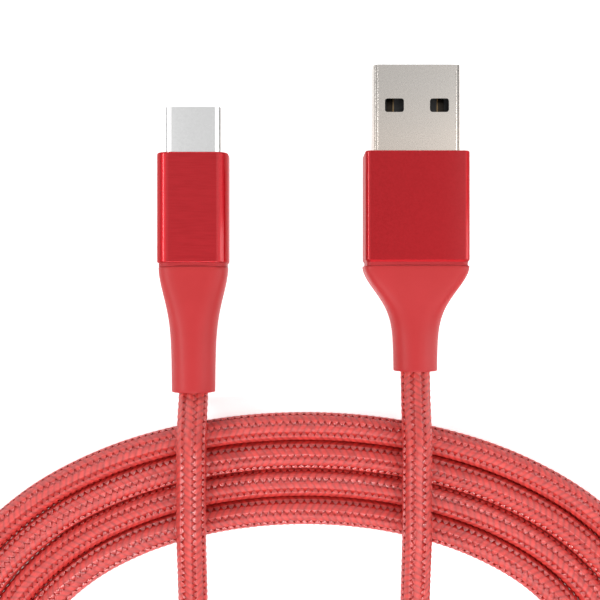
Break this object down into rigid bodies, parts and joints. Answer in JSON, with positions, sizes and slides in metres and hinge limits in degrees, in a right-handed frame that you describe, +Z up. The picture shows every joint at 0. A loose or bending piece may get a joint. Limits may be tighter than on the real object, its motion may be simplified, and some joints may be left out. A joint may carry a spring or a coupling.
{
  "type": "charging cable",
  "caption": "Red braided charging cable with a wide host plug and a small reversible device plug, both with metal housings and flexible boots, its cord lying in a flat oval coil.",
  "frame": {"origin": "on the surface the cable lies on, under the middle of the box round the two plugs", "axes": "+Y the way both plugs plug in, +X from the device plug to the host plug, +Z up from the surface"},
  "size_m": [0.1082, 0.1266, 0.008],
  "materials": {
    "shell_steel": "satin",
    "anodised_red": "fine anodised",
    "boot_red": "satin",
    "ring_red": "matte",
    "braid_red": "woven",
    "carrier_black": "matte",
    "contact_gold": "plated",
    "spring_steel": "bright",
    "board_green": "solder mask",
    "resistor_black": "matte",
    "core_white": "matte",
    "wire_red": "satin"
  },
  "bodies": {
    "cord": {"coil": "braid_red", "device_lead": "braid_red", "host_lead": "braid_red"},
    "host_plug": {"host_shell": "shell_steel", "host_insulator": "carrier_black", "host_contacts": "contact_gold", "host_core": "core_white", "host_wires": "wire_red", "host_ferrule": "spring_steel", "host_housing": "anodised_red", "host_ring": "ring_red", "host_boot": "boot_red", "host_cord_end": "braid_red"},
    "device_plug": {"device_shell": "shell_steel", "device_insulator": "carrier_black", "device_mid_plate": "spring_steel", "device_contact_tails": "contact_gold", "device_board": "board_green", "device_resistor": "resistor_black", "device_core": "core_white", "device_wires": "wire_red", "device_ferrule": "spring_steel", "device_housing": "anodised_red", "device_ring": "ring_red", "device_boot": "boot_red", "device_cord_end": "braid_red"},
    "latch_left": {"device_latch_left": "spring_steel"},
    "latch_right": {"device_latch_right": "spring_steel"},
    "contacts_upper": {"device_contacts_upper": "contact_gold", "device_spring_upper": "spring_steel"},
    "contacts_lower": {"device_contacts_lower": "contact_gold", "device_spring_lower": "spring_steel"}
  },
  "joints": [
    {"name": "host_boot_flex", "type": "hinge", "parent": "cord", "child": "host_plug", "pos_m": [0.01435, -0.0155, 0.0037], "axis": [1, 0, 0], "range_deg": [0, 45], "stiffness_Nm_per_rad": 0.03, "deforming": ["host_boot", "host_cord_end"]},
    {"name": "device_boot_flex", "type": "hinge", "parent": "cord", "child": "device_plug", "pos_m": [-0.0167, -0.0175, 0.00305], "axis": [1, 0, 0], "range_deg": [0, 45], "stiffness_Nm_per_rad": 0.03, "deforming": ["device_boot", "device_cord_end"]},
    {"name": "latch_left_spread", "type": "hinge", "parent": "device_plug", "child": "latch_left", "pos_m": [-0.02022, 0.01105, 0.00305], "axis": [0, 0, 1], "range_deg": [0, 2], "stiffness_Nm_per_rad": 0.0001},
    {"name": "latch_right_spread", "type": "hinge", "parent": "device_plug", "child": "latch_right", "pos_m": [-0.01317, 0.01105, 0.00305], "axis": [0, 0, 1], "range_deg": [-2, 0], "stiffness_Nm_per_rad": 0.0001},
    {"name": "contacts_upper_lift", "type": "hinge", "parent": "device_plug", "child": "contacts_upper", "pos_m": [-0.0167, 0.01105, 0.00361], "axis": [1, 0, 0], "range_deg": [0, 1.8], "stiffness_Nm_per_rad": 0.0001},
    {"name": "contacts_lower_lift", "type": "hinge", "parent": "device_plug", "child": "contacts_lower", "pos_m": [-0.0167, 0.01105, 0.00249], "axis": [1, 0, 0], "range_deg": [-1.8, 0], "stiffness_Nm_per_rad": 0.0001}
  ],
  "couplings": [
    {"joint": "latch_right_spread", "follows": "latch_left_spread", "ratio": -1},
    {"joint": "contacts_lower_lift", "follows": "contacts_upper_lift", "ratio": -1}
  ]
}
